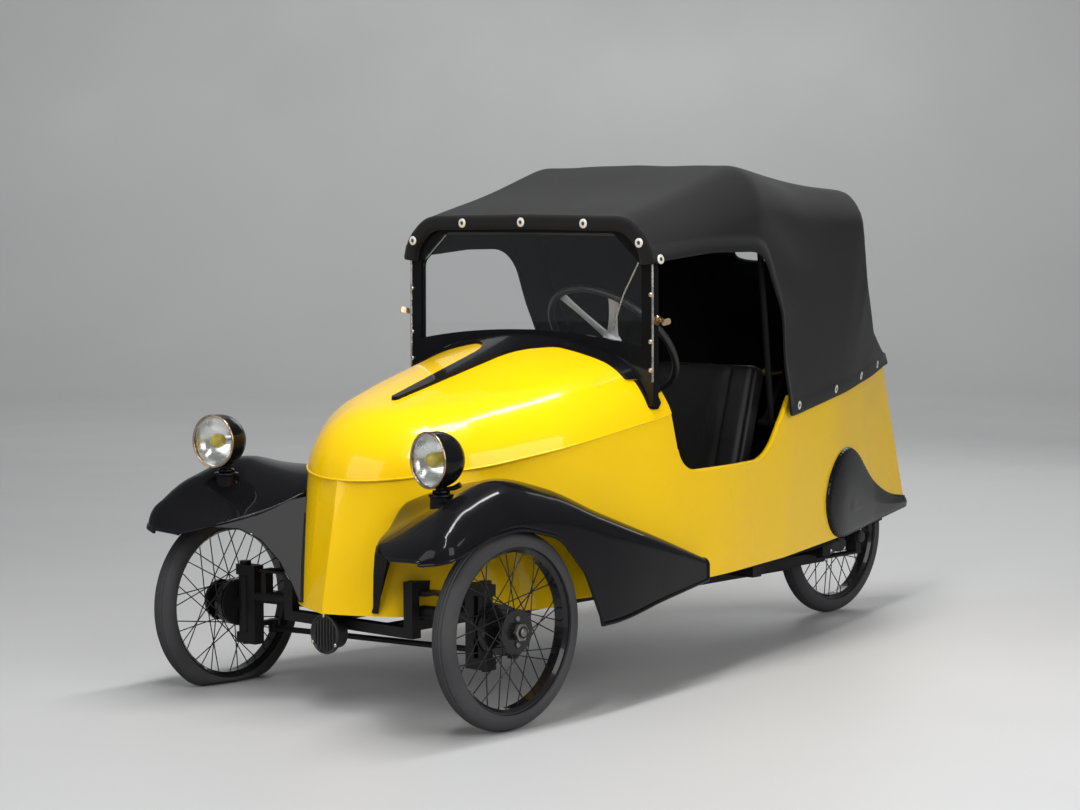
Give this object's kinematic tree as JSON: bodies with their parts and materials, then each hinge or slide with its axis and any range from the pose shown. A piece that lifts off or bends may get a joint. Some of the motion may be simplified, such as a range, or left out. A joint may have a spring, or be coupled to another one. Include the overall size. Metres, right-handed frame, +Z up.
{
  "type": "microcar",
  "caption": "Doorless boat-tailed microcar with a soft top, clamshell fenders, steered wire wheels in front and a driven wire wheel in the tail.",
  "frame": {"origin": "on the ground under the middle of the car's overall length and width", "axes": "+X forward, +Y to the driver's left, +Z up"},
  "size_m": [2.4931, 1.033, 1.263],
  "materials": {
    "paint_yellow": "gloss",
    "paint_black": "gloss",
    "clear_glass": "clear",
    "clear_plastic": "clear",
    "bright_metal": "satin",
    "cloth_black": "matte",
    "dark_steel": "satin",
    "reflector": "bright",
    "trim_black": "satin",
    "cast_alloy": "cast",
    "wheel_black": "gloss",
    "tyre_rubber": "matte",
    "wheel_rim_black": "gloss"
  },
  "bodies": {
    "body": {"lower_body": "paint_yellow", "bonnet": "paint_yellow", "scuttle_spear": "paint_black", "screen_brackets": "paint_black", "windscreen_frame": "paint_black", "windscreen_glass": "clear_glass", "wing_nuts": "bright_metal", "soft_top": "cloth_black", "rear_window": "clear_plastic", "hood_frame": "dark_steel", "fender_left": "paint_black", "fender_right": "paint_black", "fender_valances": "paint_black", "lamp_shells": "paint_black", "lamp_lenses": "clear_glass", "lamp_reflectors": "reflector", "lamp_stands": "paint_black", "tail_spats": "paint_black", "chassis_frame": "dark_steel", "front_axle": "dark_steel", "kingpins": "bright_metal", "front_spring": "dark_steel", "floor_pan": "dark_steel", "toe_board": "dark_steel", "seat_cushion": "trim_black", "seat_back": "trim_black", "dash_panel": "paint_black", "steering_column": "dark_steel", "pedals": "dark_steel", "engine_block": "cast_alloy", "drive_chain": "dark_steel", "rear_springs": "dark_steel", "rear_axle": "bright_metal", "horn": "paint_black"},
    "knuckle_left": {"knuckle_left": "dark_steel"},
    "knuckle_right": {"knuckle_right": "dark_steel"},
    "tie_rod": {"tie_rod": "dark_steel"},
    "front_wheel_left": {"wheel_left": "wheel_black", "tyre_left": "tyre_rubber"},
    "front_wheel_right": {"wheel_right": "wheel_black", "tyre_right": "tyre_rubber"},
    "rear_wheel": {"wheel_rear": "wheel_black", "tyre_rear": "tyre_rubber", "rear_sprocket": "dark_steel"},
    "steering_wheel": {"steering_wheel": "wheel_rim_black"}
  },
  "joints": [
    {"name": "steer_left", "type": "hinge", "parent": "body", "child": "knuckle_left", "pos_m": [1, 0.4, 0.225], "axis": [0, 0, 1], "range_deg": [-25, 25]},
    {"name": "steer_right", "type": "hinge", "parent": "body", "child": "knuckle_right", "pos_m": [1, -0.4, 0.199], "axis": [0, 0, 1], "range_deg": [-25, 25]},
    {"name": "tie_rod_pivot", "type": "hinge", "parent": "knuckle_left", "child": "tie_rod", "pos_m": [0.91, 0.4, 0.153], "axis": [0, 0, 1], "range_deg": [-25, 25]},
    {"name": "steering_wheel_turn", "type": "hinge", "parent": "body", "child": "steering_wheel", "pos_m": [0.25, 0.135, 0.827], "axis": [-0.7431, 0, 0.6691], "range_deg": [-100, 100]},
    {"name": "front_left_spin", "type": "hinge", "parent": "knuckle_left", "child": "front_wheel_left", "pos_m": [1, 0.4645, 0.225], "axis": [0, 1, 0], "continuous": true},
    {"name": "front_right_spin", "type": "hinge", "parent": "knuckle_right", "child": "front_wheel_right", "pos_m": [1, -0.4645, 0.199], "axis": [0, 1, 0], "continuous": true},
    {"name": "rear_spin", "type": "hinge", "parent": "body", "child": "rear_wheel", "pos_m": [-0.863, 0, 0.225], "axis": [0, 1, 0], "continuous": true}
  ],
  "couplings": [
    {"joint": "steer_right", "follows": "steer_left", "ratio": 1},
    {"joint": "tie_rod_pivot", "follows": "steer_left", "ratio": -1},
    {"joint": "steering_wheel_turn", "follows": "steer_left", "ratio": 4}
  ]
}
